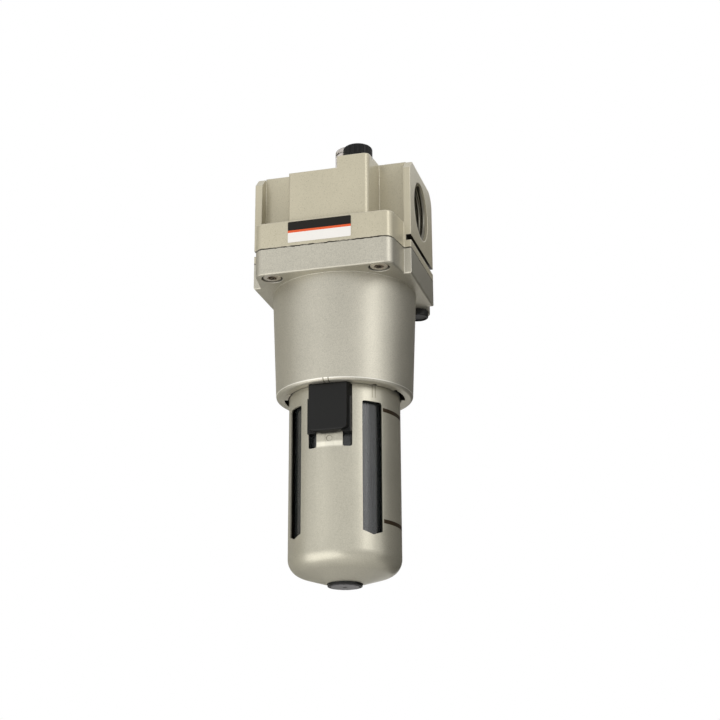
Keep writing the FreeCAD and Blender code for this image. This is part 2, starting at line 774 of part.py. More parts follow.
def make_button():
    """Lock button with a curved foot and two moulded legs that hook behind the guard."""
    button = new_body("lock_button", height=FOOT)
    low = "(-button_length - run)"
    half = "(button_width / 2 + button_flare)"
    add_pad(button, "block", "YZ_Plane", f"(-{half})", half, [
        (f"(-{BUTTON_FACE})", "(-run)"),
        (f"(-{BUTTON_FACE})", f"{low} + button_length - button_lip_drop + button_crease"),
        (f"(-{BUTTON_FACE} - button_lip)", f"{low} + button_length - button_lip_drop", "button_lip"),
        ("(-guard_diameter / 2 - button_lip)", low),
        ("(-guard_diameter / 2) + button_block", low),
        ("(-guard_diameter / 2) + button_block", "(-run)"),
    ])
    steep = f"button_bow * 2 / {half}"
    cut_pocket(button, "curved_foot", "XZ_Plane", "0", f"{BUTTON_FACE} + button_lip + 1", [
        (f"(-{half}) - 1", f"{low} + button_bow + {steep}"),
        ("0", f"{low} - button_bow", "button_curve"),
        (f"{half} + 1", f"{low} + button_bow + {steep}"),
        (f"{half} + 1", f"{low} - button_bow - 1"),
        (f"(-{half}) - 1", f"{low} - button_bow - 1"),
    ])
    flank = cut_pocket(button, "flank", "XY_Plane", f"{low} - 1", "1", [
        ("button_width / 2", f"(-{BUTTON_FACE})"),
        ("button_width / 2 + button_flare", "(-guard_diameter / 2) + flare_depth"),
        ("button_width / 2 + button_flare + 1", "(-guard_diameter / 2) + flare_depth"),
        ("button_width / 2 + button_flare + 1", f"(-{BUTTON_FACE} - button_lip) - 1"),
        ("button_width / 2", f"(-{BUTTON_FACE} - button_lip) - 1"),
    ])
    mirror_across(button, flank)
    cut_groove(button, "guard_side",
               box_loop("0", f"{low} - 1", "guard_diameter / 2 + run", "1"))
    inner_face = "(guard_diameter / 2 - guard_wall - run)"
    near_side = "(leg_slot_inner + fit)"
    hook_face = f"(-sqrt({inner_face} * {inner_face} - {near_side} * {near_side}))"
    leg_top = "(-leg_slot_top - leg_slot_round)"
    leg_end = "(-leg_slot_end + leg_slot_round + button_travel)"
    leg = add_pad(button, "leg", "XY_Plane", leg_end, leg_top, [
        (near_side, "(-guard_diameter / 2) - run"),
        ("leg_slot_inner + leg_slot_width - fit", "(-guard_diameter / 2) - run"),
        ("leg_slot_inner + leg_slot_width - fit", f"(-{BOWL} / 2) + leg_slot_width"),
        ("leg_slot_inner - hook_overlap", f"(-{BOWL} / 2) + leg_slot_width"),
        ("leg_slot_inner - hook_overlap", hook_face),
        (near_side, hook_face),
    ])
    mirror_across(button, leg)
    cut_groove(button, "bowl_side", box_loop("0", f"{leg_end} - 1", f"{BOWL} / 2 + run", "1"))
    return button


def make_bowl():
    """Clear bowl with a seal groove in its collar and a hole for the drain."""
    bowl = new_body("bowl", height=FOOT)
    outer, inner = f"{BOWL} / 2", f"({BOWL} / 2 - bowl_wall)"
    collar_low, rim = f"({GUARD_TOP} + seat)", BOWL_TOP
    groove = f"({rim} - bowl_seal_below)"
    revolve(bowl, "shell", [
        ("drain_stem / 2 + fit", "(-bowl_drop)"),
        (outer, "(-bowl_drop)", "bowl_bend"),
        (outer, collar_low),
        (COLLAR, collar_low),
        (COLLAR, f"{groove} - bowl_seal_cord / 2 - fit"),
        (f"{BOWL_BORE} / 2 - bowl_seal_cord", f"{groove} - bowl_seal_cord / 2 - fit"),
        (f"{BOWL_BORE} / 2 - bowl_seal_cord", f"{groove} + bowl_seal_cord / 2 + fit"),
        (COLLAR, f"{groove} + bowl_seal_cord / 2 + fit"),
        (COLLAR, rim),
        (f"{COLLAR} - collar_wall", rim),
        (f"{COLLAR} - collar_wall", f"{collar_low} + collar_height / 4"),
        (inner, collar_low),
        (inner, "(-bowl_drop) + bowl_wall", "(bowl_bend - bowl_wall)"),
        ("drain_stem / 2 + fit", "(-bowl_drop) + bowl_wall"),
    ])
    seal = o_ring("bowl_seal", f"{BOWL_BORE} / 2 - bowl_seal_cord / 2", "bowl_seal_cord",
                  height=f"{FOOT} + {groove}")
    return [bowl, seal]


def make_drain():
    """Screw-down drain: housing, nut and gasket that clamp the bowl, and the knob with its seal."""
    base = f"{FOOT} - guard_drop"
    bowl_under = "(guard_drop - bowl_drop)"
    bowl_over = "(guard_drop - bowl_drop + bowl_wall)"
    top = f"{bowl_over} + seat + gasket_thick + seat + nut_height + stem_show"
    housing = new_body("drain_housing", height=base)
    seal_level = f"({bowl_under} - drain_seal_cord)"
    seal_room = "knob_stem / 2 + drain_seal_cord"
    revolve(housing, "moulded", [
        ("knob_stem / 2 + seat", top),
        ("knob_stem / 2 + seat", f"{seal_level} + drain_seal_cord / 2 + seat"),
        (seal_room, f"{seal_level} + drain_seal_cord / 2 + seat"),
        (seal_room, f"{seal_level} - drain_seal_cord / 2 - seat"),
        ("knob_stem / 2 + seat", f"{seal_level} - drain_seal_cord / 2 - seat"),
        ("knob_stem / 2 + seat", "(-drain_show) + drain_recess"),
        ("knob_diameter / 2 + run", "(-drain_show) + drain_recess"),
        ("knob_diameter / 2 + run", "(-drain_show)"),
        ("drain_collar / 2", "(-drain_show)", "collar_round"),
        ("drain_collar / 2", f"{bowl_under} - seat"),
        ("drain_stem / 2", f"{bowl_under} - seat"),
        ("drain_stem / 2", top),
    ])
    gasket = new_body("drain_gasket", height=f"{base} + {bowl_over} + seat")
    revolve(gasket, "ring", box_loop("drain_stem / 2 + fit", "0", "nut_width / 2", "gasket_thick"))
    nut = new_body("drain_nut", height=f"{base} + {bowl_over} + seat + gasket_thick + seat")
    add_pad(nut, "hexagon", "XY_Plane", "0", "nut_height", hexagon("nut_width"),
            ("0", "0", "drain_stem / 2 + seat"))
    seal = o_ring("drain_seal", "knob_stem / 2 + drain_seal_cord / 2", "drain_seal_cord",
                  height=f"{base} + {seal_level}")
    knob = new_body("drain_knob", height=base)
    face = "(-drain_show - knob_proud)"
    revolve(knob, "turned", [
        ("drain_way / 2", face),
        ("knob_diameter / 2", face, "knob_proud"),
        ("knob_diameter / 2", "(-drain_show) + drain_recess - run"),
        ("knob_stem / 2", "(-drain_show) + drain_recess - run"),
        ("knob_stem / 2", top),
        ("drain_way / 2", top),
    ])
    scallop = cut_pocket(knob, "scallop", "XY_Plane", f"{face} - 1", "(-drain_show) + drain_recess",
                         ("knob_diameter / 2 + scallop_size / 4", "0", "scallop_size / 2"))
    repeat_round(knob, scallop, "knob_scallops")
    return [housing, gasket, nut, seal, knob]


def make_filler_plug():
    """Moulded filler plug with a fluted head and a threaded stem, and its seal ring."""
    where = ("filler_right", f"(-{FILLER_FRONT})")
    plug = new_body("filler_plug", *where, "boss_top + seat")
    stem = "filler_hole / 2 - seat"
    groove = "filler_hole / 2 - filler_seal_cord"
    revolve(plug, "moulded", [
        ("0", "filler_head_height"),
        ("filler_head / 2", "filler_head_height", "filler_head_round"),
        ("filler_head / 2", "0"),
        (groove, "0"),
        (groove, "(-filler_seal_cord) - fit"),
        (stem, "(-filler_seal_cord) - fit"),
        (stem, "(-filler_stem)"),
        ("0", "(-filler_stem)"),
    ])
    flute = cut_pocket(plug, "flute", "XY_Plane", "(-1)", "filler_head_height + 1",
                       ("filler_head / 2 + flute_size / 4", "0", "flute_size / 2"))
    repeat_round(plug, flute, "filler_flutes")
    seal = o_ring("filler_plug_seal", "filler_hole / 2 - filler_seal_cord / 2", "filler_seal_cord",
                  *where, "boss_top - filler_seal_cord / 2")
    return [plug, seal]


def make_sight_dome():
    """Clear dome on its seal, with the drip nozzle inside and the feed needle through its top."""
    where = ("dome_right", "(-dome_front)", "neck_top")
    dome = new_body("sight_dome", *where)
    wall = "dome_diameter / 2"
    skirt = "dome_socket / 2 - seat"
    seal_level = "(-dome_seal_cord / 2 - fit)"
    seal_low = f"{seal_level} - dome_seal_cord / 2 - seat"
    seal_high = f"{seal_level} + dome_seal_cord / 2 + seat"
    groove = "dome_socket / 2 - dome_seal_cord"
    shank = "needle_size / 2 + fit"
    needle_level = "(dome_height - dome_roof / 2)"
    needle_groove = "needle_size / 2 + needle_seal_cord"
    revolve(dome, "moulded", [
        (shank, "dome_height"),
        (wall, "dome_height", "dome_round"),
        (wall, "dome_flange_height"),
        ("dome_flange / 2", "dome_flange_height"),
        ("dome_flange / 2", "seat"),
        (skirt, "seat"),
        (skirt, seal_high),
        (groove, seal_high),
        (groove, seal_low),
        (skirt, seal_low),
        (skirt, "(-skirt_depth)"),
        (f"{wall} - dome_wall - skirt_step", "(-skirt_depth)"),
        (f"{wall} - dome_wall - skirt_step", "dome_height - dome_roof", "dome_round - dome_wall / 2"),
        (shank, "dome_height - dome_roof"),
        (shank, f"{needle_level} - needle_seal_cord / 2 - seat"),
        (needle_groove, f"{needle_level} - needle_seal_cord / 2 - seat"),
        (needle_groove, f"{needle_level} + needle_seal_cord / 2 + seat"),
        (shank, f"{needle_level} + needle_seal_cord / 2 + seat"),
    ])
    dome_seal = o_ring("dome_seal", "dome_socket / 2 - dome_seal_cord / 2", "dome_seal_cord",
                       *where[:2], f"neck_top + {seal_level}")
    needle_seal = o_ring("needle_seal", "needle_size / 2 + needle_seal_cord / 2", "needle_seal_cord",
                         *where[:2], f"neck_top + {needle_level}")
    return [dome, dome_seal, needle_seal, make_nozzle(where), make_needle(where)]


def make_nozzle(where):
    """Drip nozzle: a disc with a funnel, a riser from the oil way and the needle's seat."""
    nozzle = new_body("drip_nozzle", *where)
    floor, deck = "(-socket_depth) + seat", "(-skirt_depth) - seat"
    add_pad(nozzle, "disc", "XY_Plane", floor, deck, ("0", "0", "dome_socket / 2 - seat"))
    add_pad(nozzle, "riser", "XY_Plane", f"{deck} - 1", "nozzle_seat_high - arm_below",
            ("0", "(-riser_front)", "riser_size / 2"))
    add_pad(nozzle, "arm", "XY_Plane", "nozzle_seat_high - arm_below - riser_size",
            "nozzle_seat_high - arm_below",
            box_loop("(-riser_size / 2) + fit", "(-riser_front)", "riser_size / 2 - fit", "0"))
    add_pad(nozzle, "needle_seat", "XY_Plane", "nozzle_seat_low", "nozzle_seat_high",
            ("0", "0", "nozzle_seat / 2"))
    cut_pocket(nozzle, "funnel", "XY_Plane", f"{floor} - 1", f"{deck} + 1", ("0", "0", "drip_bore / 2"))
    cut_pocket(nozzle, "seat_way", "XY_Plane", "nozzle_seat_low - 1", "nozzle_seat_high + 1",
               ("0", "0", "riser_way / 2"))
    cross = "(-skirt_depth) - nozzle_base / 2 - fit"
    arm_level = "nozzle_seat_high - arm_below - riser_size / 2"
    cut_pocket(nozzle, "riser_hole", "XY_Plane", cross, arm_level, ("0", "(-riser_front)", "riser_way / 2"))
    cut_pocket(nozzle, "arm_way", "XZ_Plane", "0", "riser_front", ("0", arm_level, "riser_way / 2 - fit"))
    cut_pocket(nozzle, "inlet_way", "XZ_Plane", "riser_front", "dome_socket / 2 + 1",
               ("0", cross, "riser_way / 2"))
    return nozzle


def make_needle(where):
    """Feed needle, turned with a screwdriver from above the dome."""
    needle = new_body("feed_needle", *where)
    tip = "riser_way / 2 - fit"
    revolve(needle, "turned", [
        ("0", "nozzle_seat_high - needle_reach"),
        (tip, "nozzle_seat_high - needle_reach + needle_point"),
        (tip, "nozzle_seat_high + fit"),
        ("needle_size / 2", "nozzle_seat_high + fit + needle_point"),
        ("needle_size / 2", "dome_height + fit"),
        ("needle_head / 2", "dome_height + fit"),
        ("needle_head / 2", "dome_height + fit + needle_head_height", "needle_head_height / 4"),
        ("0", "dome_height + fit + needle_head_height"),
    ])
    cut_pocket(needle, "driver_slot", "XY_Plane", "dome_height + fit + needle_head_height / 2",
               "dome_height + needle_head_height + 1",
               box_loop("(-needle_head)", "(-needle_slot / 2)", "needle_head", "needle_slot / 2"))
    return needle


def make_siphon():
    """Siphon: adapter pressed in the body, check ball in its room, tube and sintered filter."""
    where = ("dome_right", f"(-{SIPHON_FRONT})", PARTING)
    adapter = new_body("siphon_adapter", *where)
    dip = "(ball_size / 2 - sqrt(ball_size * ball_size - ball_seat_bore * ball_seat_bore) / 2)"
    seat_level = f"(adapter_depth - ball_size + 2 * {dip} - fit - ball_lift - run)"
    spigot = "siphon_size / 2 - siphon_wall - seat"
    revolve(adapter, "turned", [
        ("ball_seat_bore / 2", "(-adapter_spigot)"),
        (spigot, "(-adapter_spigot)"),
        (spigot, "(-seat)"),
        ("adapter_size / 2 - seat", "(-seat)"),
        ("adapter_size / 2 - seat", "adapter_depth - seat"),
        ("ball_room / 2", "adapter_depth - seat"),
        ("ball_room / 2", seat_level),
        ("ball_seat_bore / 2", seat_level),
    ])
    ball = doc.addObject("Part::Sphere", "check_ball")
    ball.Label = "check_ball"
    bind(ball, "Radius", "ball_size / 2")
    place(ball, *where[:2],
          f"{PARTING} + {seat_level} + ball_size / 2 - {dip} + fit")
    tube = new_body("siphon_tube", *where)
    revolve(tube, "tube", box_loop("siphon_size / 2 - siphon_wall", "(-siphon_end)", "siphon_size / 2",
                                   "(-2 * seat)"))
    strainer = new_body("siphon_filter", *where[:2], f"{PARTING} - siphon_end")
    revolve(strainer, "sintered", [
        ("0", "(-filter_length / 2)"),
        ("filter_size / 2", "(-filter_length / 2)", "siphon_wall"),
        ("filter_size / 2", "filter_length / 2", "siphon_wall"),
        ("siphon_size / 2 + seat", "filter_length / 2"),
        ("siphon_size / 2 + seat", "(-seat)"),
        ("0", "(-seat)"),
    ])
    return [adapter, ball, tube, strainer]


def make_venturi():
    """Venturi ring held in the air bore by a spring clip, with a flexible damper at its mouth."""
    bore = "air_bore / 2 - seat"
    start = "(-venturi_length / 2)"
    ring = new_body("venturi_ring", "dome_right")
    revolve(ring, "turned", [
        (start, "venturi_throat / 2 + venturi_flare"),
        (start, bore),
        ("venturi_length / 2", bore),
        ("venturi_length / 2", "venturi_throat / 2 + venturi_flare"),
        ("throat_half", "venturi_throat / 2", "throat_round"),
        ("(-throat_half)", "venturi_throat / 2", "throat_round / 3"),
    ], axis="H_Axis")
    cut_pocket(ring, "drip_entry", "XY_Plane", "0", f"{bore} + 1", ("0", "(-dome_front)", "drip_bore / 2"))
    damper = new_body("flow_damper", f"dome_right + {start} - seat - damper_thick")
    flap = f"({bore} - damper_rim - damper_slit)"
    add_pad(damper, "sheet", "YZ_Plane", "0", "damper_thick", ("0", "0", bore),
            ("0", "0", f"{bore} - damper_rim"))
    add_pad(damper, "flap", "YZ_Plane", "0", "damper_thick", ("0", "0", flap))
    add_pad(damper, "neck", "YZ_Plane", "0", "damper_thick",
            box_loop("(-damper_neck / 2)", f"(-{bore}) + damper_rim / 2",
                     "damper_neck / 2", f"(-{flap}) / 2"))
    clip = new_body("venturi_clip", "dome_right + venturi_length / 2 + fit / 2")
    revolve(clip, "round_clip",
            box_loop("0", "air_bore / 2 + clip_groove - clip_width - seat", "clip_thick",
                     "air_bore / 2 + clip_groove - seat"),
            axis="H_Axis")
    cut_pocket(clip, "opening", "YZ_Plane", "(-1)", "clip_thick + 1", [
        ("0", "0"),
        ("(-air_bore) * tan(clip_gap / 2)", "(-air_bore)"),
        ("air_bore * tan(clip_gap / 2)", "(-air_bore)"),
    ])
    return [ring, damper, clip]


pieces = [make_body(), make_bonnet(), make_nameplate(), make_guard(), make_button()]
pieces.append(o_ring("bonnet_seal", f"{SEAL_RING} / 2", "bonnet_seal_cord",
                     height=f"{PARTING} - bonnet_seal_cord / 2"))
for maker in (make_fixings, make_bowl, make_drain, make_filler_plug, make_sight_dome, make_siphon,
              make_venturi):
    pieces.extend(maker())
doc.recompute()

failed = [thing.Name for thing in doc.Objects if {"Invalid", "Error"} & set(thing.State)]
if failed:
    raise RuntimeError("These objects didn't build: " + ", ".join(failed))
for piece in pieces:
    if piece.Shape.isNull() or not piece.Shape.isValid():
        raise RuntimeError(piece.Label + " has no sound shape")

os.makedirs("parts", exist_ok=True)
for piece in pieces:
    piece.Shape.exportStep(f"parts/{piece.Label}.step")
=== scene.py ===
import math

import bpy
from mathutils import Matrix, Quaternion, Vector


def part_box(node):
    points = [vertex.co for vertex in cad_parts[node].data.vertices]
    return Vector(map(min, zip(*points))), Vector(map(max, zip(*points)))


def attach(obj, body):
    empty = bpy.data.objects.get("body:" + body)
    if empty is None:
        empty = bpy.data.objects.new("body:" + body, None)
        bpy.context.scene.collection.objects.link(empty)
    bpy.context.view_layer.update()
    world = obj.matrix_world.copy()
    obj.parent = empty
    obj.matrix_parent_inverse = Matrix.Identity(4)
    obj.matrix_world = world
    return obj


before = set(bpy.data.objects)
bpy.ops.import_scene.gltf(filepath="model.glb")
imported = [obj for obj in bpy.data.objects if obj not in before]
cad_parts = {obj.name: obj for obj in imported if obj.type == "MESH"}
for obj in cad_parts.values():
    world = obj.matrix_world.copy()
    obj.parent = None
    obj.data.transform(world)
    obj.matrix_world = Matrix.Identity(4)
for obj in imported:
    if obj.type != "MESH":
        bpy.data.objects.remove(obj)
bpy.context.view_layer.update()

# The view
# A long lens below the lubricator and a little to its right looks up at it, as the photograph does.
# The camera stands on a sphere round a point on the bowl axis and keeps the photograph's slight shift.
MM = 0.001
AXIS_X = (sum(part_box("drain_housing"), Vector()) / 2).x
AIM = Vector((AXIS_X, 0, -80 * MM))
# Angles in degrees, and the shift in shares of the picture's width.
VIEW_AZIMUTH = 15.85
VIEW_ELEVATION = -19.11
VIEW_ROLL = -0.1
VIEW_DISTANCE = 862 * MM
LENS_MM = 77.63
SHIFT_ACROSS = 0.0213
SHIFT_UP = -0.0091


def round_the_bowl(azimuth, elevation, distance):
    """Point round the aim at angles in degrees, with azimuth nought in front and growing to the right."""
    turn, rise = math.radians(azimuth), math.radians(elevation)
    outward = Vector((math.sin(turn) * math.cos(rise), -math.cos(turn) * math.cos(rise), math.sin(rise)))
    return AIM + outward * distance


def look_at_aim(thing, face):
    """Rotation that turns a face of a camera, card or lamp towards the aim."""
    return (AIM - thing.location).to_track_quat(face, "Y")


camera = bpy.data.objects.new("camera", bpy.data.cameras.new("camera"))
bpy.context.scene.collection.objects.link(camera)
camera.location = round_the_bowl(VIEW_AZIMUTH, VIEW_ELEVATION, VIEW_DISTANCE)
camera.rotation_mode = "QUATERNION"
camera.rotation_quaternion = look_at_aim(camera, "-Z") @ Quaternion((0, 0, 1), math.radians(VIEW_ROLL))
camera.data.lens = LENS_MM
camera.data.shift_x = SHIFT_ACROSS
camera.data.shift_y = SHIFT_UP
bpy.context.scene.camera = camera
bpy.context.scene.view_settings.view_transform = "Standard"

# The studio
# White surroundings over a pale paper floor, with three soft lamps that the paint mirrors and two that
# only light it. Two felt cards beside the lubricator darken what its flanks mirror.
FLOOR_LEVEL = -0.75
FLOOR_SIZE = 30
PAPER_MOTTLE = 750 * MM
FELT_FIBRE = 4 * MM
AMBIENT = 0.8
# Name, azimuth and elevation in degrees, distance, width and height in metres, and power in watts.
LAMPS = (
    ("key_lamp", 60, 20, 1.1, 0.34, 0.6, 1.85),
    ("left_lamp", -30, 18, 1.2, 0.4, 0.6, 0.32),
    ("low_lamp", -34, -42, 0.8, 1.1, 0.9, 4.8),
    ("right_fill", 76, 20, 1.2, 0.8, 0.8, 2.4),
    ("front_fill", 8, -10, 1.5, 0.8, 0.8, 1.8),
)
UNMIRRORED = ("right_fill", "front_fill")
# Name, azimuth and elevation in degrees, distance, width and height in metres, and the felt's two tones.
CARDS = (
    ("right_card", 137, -6, 0.75, 1.4, 1.18, "#35342F", "#413F3A"),
    ("left_card", -117, 0, 0.75, 1.55, 1.3, "#B5B3AB", "#C1BFB7"),
)


def srgb(code):
    """Turn an sRGB hex value into the linear colour that a shader takes."""
    channels = [int(code[start:start + 2], 16) / 255 for start in (1, 3, 5)]
    return (*[c / 12.92 if c <= 0.04045 else ((c + 0.055) / 1.055) ** 2.4 for c in channels], 1)


def add_node(owner, kind, inputs=(), **settings):
    """Add a shader node with its settings, and fill or link its inputs, which come in order or by name."""
    made = owner.node_tree.nodes.new("ShaderNode" + kind)
    for name, setting in settings.items():
        setattr(made, name, setting)
    for name, source in inputs.items() if isinstance(inputs, dict) else enumerate(inputs):
        if isinstance(source, bpy.types.Node):
            source = source.outputs[0]
        if isinstance(source, bpy.types.NodeSocket):
            owner.node_tree.links.new(source, made.inputs[name])
        else:
            made.inputs[name].default_value = source
    return made


def new_material(name):
    """Empty material, ready for its nodes."""
    material = bpy.data.materials.new(name)
    material.use_nodes = True
    material.node_tree.nodes.clear()
    return material


def speckle(owner, size, detail=2.0, stretch=(1, 1, 1), shift=0.0):
    """Uneven spots of about the size given, drawn out along an axis where the stretch is under one."""
    place = add_node(owner, "Mapping", {"Vector": add_node(owner, "TexCoord").outputs["Object"],
                                        "Location": (shift, shift, shift), "Scale": stretch})
    return add_node(owner, "TexNoise", {"Vector": place, "Scale": 1 / size, "Detail": detail})


def matt_sheet(name, shade, light, spot, detail, roughness, shift=0.0):
    """Matt sheet in two tones that run into each other."""
    sheet = new_material(name)
    spots = speckle(sheet, spot, detail, shift=shift)
    tone = add_node(sheet, "MixRGB", (spots, srgb(shade), srgb(light)))
    surface = add_node(sheet, "BsdfPrincipled", {"Base Color": tone, "Roughness": roughness})
    add_node(sheet, "OutputMaterial", (surface,))
    return sheet


def add_card(name, place, width, height, material):
    """Flat card, square to Z until it is turned."""
    mesh = bpy.data.meshes.new(name)
    corners = ((-1, -1), (1, -1), (1, 1), (-1, 1))
    mesh.from_pydata([(x * width / 2, y * height / 2, 0) for x, y in corners], [], [(0, 1, 2, 3)])
    mesh.materials.append(material)
    card = bpy.data.objects.new(name, mesh)
    bpy.context.scene.collection.objects.link(card)
    card.location = place
    return card


# Uncoated paper off the roll: matt white, a little warm, with the faintest mottle, counted from a corner.
floor_paper = matt_sheet("floor_paper", "#F3F2EF", "#F8F7F5", PAPER_MOTTLE, detail=4.0, roughness=0.9,
                         shift=FLOOR_SIZE / 2)
floor = add_card("floor", Vector((AXIS_X, 0, FLOOR_LEVEL)), FLOOR_SIZE, FLOOR_SIZE, floor_paper)

# Wool felt on each card: it swallows most of the light and shows only its two tones of fibre.
for name, azimuth, elevation, distance, width, height, shade, light in CARDS:
    felt = matt_sheet(name + "_felt", shade, light, FELT_FIBRE, detail=2.0, roughness=1.0)
    card = add_card(name, round_the_bowl(azimuth, elevation, distance), width, height, felt)
    card.rotation_euler = look_at_aim(card, "Z").to_euler()
    card.visible_camera = False
    card.visible_transmission = False

for name, azimuth, elevation, distance, width, height, power in LAMPS:
    lamp = bpy.data.objects.new(name, bpy.data.lights.new(name, "AREA"))
    bpy.context.scene.collection.objects.link(lamp)
    lamp.location = round_the_bowl(azimuth, elevation, distance)
    lamp.rotation_euler = look_at_aim(lamp, "-Z").to_euler()
    lamp.data.shape = "RECTANGLE"
    lamp.data.size = width
    lamp.data.size_y = height
    lamp.data.energy = power
    lamp.visible_glossy = name not in UNMIRRORED

world = bpy.data.worlds.new("studio")
world.use_nodes = True
world.node_tree.nodes.clear()
bpy.context.scene.world = world
path = add_node(world, "LightPath").outputs
seen = add_node(world, "Math", (path["Is Camera Ray"], path["Is Glossy Ray"]), operation="MAXIMUM")
seen = add_node(world, "Math", (seen, path["Is Transmission Ray"]), operation="MAXIMUM")
soft_light = add_node(world, "Background", (srgb("#FFFFFF"), AMBIENT))
plain_white = add_node(world, "Background", (srgb("#FFFFFF"), 1.0))
add_node(world, "OutputWorld", (add_node(world, "MixShader", (seen, soft_light, plain_white)),))

# Body
# The upper casting carries the air from port to port: die cast aluminium with a baked champagne paint.
# The paint is satin and holds fine aluminium flake; on the outer edges it is thinner and has a painted
# highlight.
BODY_SHADE = "#B9B29C"
BODY_DEEP = "#B0A993"
# Paler edge colour: thinner paint with a painted highlight.
BODY_EDGE = "#EFEBDC"
SEAM_DARK = "#2B261E"
# Painted shade for deep corners, the clamp slots, the inside of the bayonet ring and the guard's rim in it.
PAINTED_SHADE = "#2C2820"

# The flake is drawn ten times as coarse as it is, so that it shows.
FLAKE_SIZE = 0.4 * MM
FLAKE_RANGE = (0.32, 0.6)
FLAKE_RELIEF = 0.02 * MM
FLAKE_BUMP = 0.1
GLOSS_SPREAD = 0.03
DRIFT_SIZE = 22 * MM
DRIFT_SHADES = (0.95, 1.03)
# Nearly all values of a speckle lie in this range.
SPECKLE_RANGE = (0.3, 0.7)
# How well the rounded normal agrees with the face's own where the paler edge and its painted highlight
# start, and at an edge.
EDGE_TURN = (0.995, 0.8)
EDGE_SHARE = 0.5
# The share of open air where the painted shade in corners starts, and where it covers the paint.
SHELTER_REACH = 3 * MM
SHELTER_RANGE = (0.45, 0.1)

SCUFF_WIDTH = 0.5 * MM
SCUFF_SHARE = 0.5
UPRIGHT_STRETCH = (1, 1, 0.09)
UPRIGHT_RANGE = (0.71, 0.76)
SLANTING_STRETCH = (0.12, 0.5, 0.3)
SLANTING_RANGE = (0.72, 0.77)
PATCH_SIZE = 14 * MM
PATCH_RANGE = (0.5, 0.62)

SEAM_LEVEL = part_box("bonnet")[1].z
SEAM_HALF = 0.3 * MM
SEAM_WANDER = 0.6 * SEAM_HALF
SEAM_SOFT = 0.12 * MM
SEAM_WAVE = 2.4 * MM
SEAM_BREAK = 5 * MM
BREAK_RANGE = (0.35, 0.5)
BREAK_SHADES = (0.55, 1.0)
SLOT_LEVEL = -25.7 * MM
SLOT_HALF = 1.65 * MM
SLOT_DEPTH = 2.8 * MM
SLOT_MOUTH = 0.2 * MM
SLOT_SOFT = 0.1 * MM


def dress(node, material):
    """Give a piece of the frame its finish."""
    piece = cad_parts[node]
    piece.data.materials.clear()
    piece.data.materials.append(material)


def place_on_part(owner):
    """Where a point lies on the part in metres, as the sockets X, Y and Z."""
    return add_node(owner, "SeparateXYZ", (add_node(owner, "TexCoord").outputs["Object"],)).outputs


def within(owner, measure, low, high, soft):
    """One where a measure lies between two values, fading out over the soft margin."""
    risen = add_node(owner, "MapRange", (measure, low - soft, low))
    fallen = add_node(owner, "MapRange", (measure, high + soft, high))
    return add_node(owner, "Math", (risen, fallen), operation="MINIMUM")


def seam_shadow(owner):
    """Dark uneven joint line all round, where body and bonnet meet."""
    wave = speckle(owner, SEAM_WAVE)
    wander = add_node(owner, "MapRange", (wave, *SPECKLE_RANGE, -SEAM_WANDER, SEAM_WANDER))
    level = add_node(owner, "Math", (place_on_part(owner)["Z"], wander), operation="ADD")
    line = within(owner, level, SEAM_LEVEL - SEAM_HALF, SEAM_LEVEL + SEAM_HALF, SEAM_SOFT)
    broken = speckle(owner, SEAM_BREAK, shift=0.4)
    depth = add_node(owner, "MapRange", (broken, *BREAK_RANGE, *BREAK_SHADES))
    return add_node(owner, "Math", (line, depth), operation="MULTIPLY")


def clamp_shadow(owner):
    """Dark inside of the clamp slots across both ends."""
    outward = add_node(owner, "Math", (place_on_part(owner)["X"], AXIS_X), operation="SUBTRACT")
    outward = add_node(owner, "Math", (outward,), operation="ABSOLUTE")
    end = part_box("body")[1].x - AXIS_X
    inside = within(owner, outward, end - SLOT_DEPTH, end - SLOT_MOUTH, SLOT_SOFT)
    slot = within(owner, place_on_part(owner)["Z"], SLOT_LEVEL - SLOT_HALF, SLOT_LEVEL + SLOT_HALF,
                  SLOT_SOFT / 2)
    return add_node(owner, "Math", (inside, slot), operation="MULTIPLY")


def scuffs(owner):
    """Sparse short hairlines from handling, most of them nearly upright."""
    upright = speckle(owner, SCUFF_WIDTH, 1.0, UPRIGHT_STRETCH)
    upright = add_node(owner, "MapRange", (upright, *UPRIGHT_RANGE))
    slanting = speckle(owner, SCUFF_WIDTH, 1.0, SLANTING_STRETCH, shift=0.31)
    slanting = add_node(owner, "MapRange", (slanting, *SLANTING_RANGE))
    hairs = add_node(owner, "Math", (upright, slanting), operation="MAXIMUM")
    patches = speckle(owner, PATCH_SIZE, 1.0, shift=0.17)
    patches = add_node(owner, "MapRange", (patches, *PATCH_RANGE, 0.0, SCUFF_SHARE))
    return add_node(owner, "Math", (hairs, patches), operation="MULTIPLY")


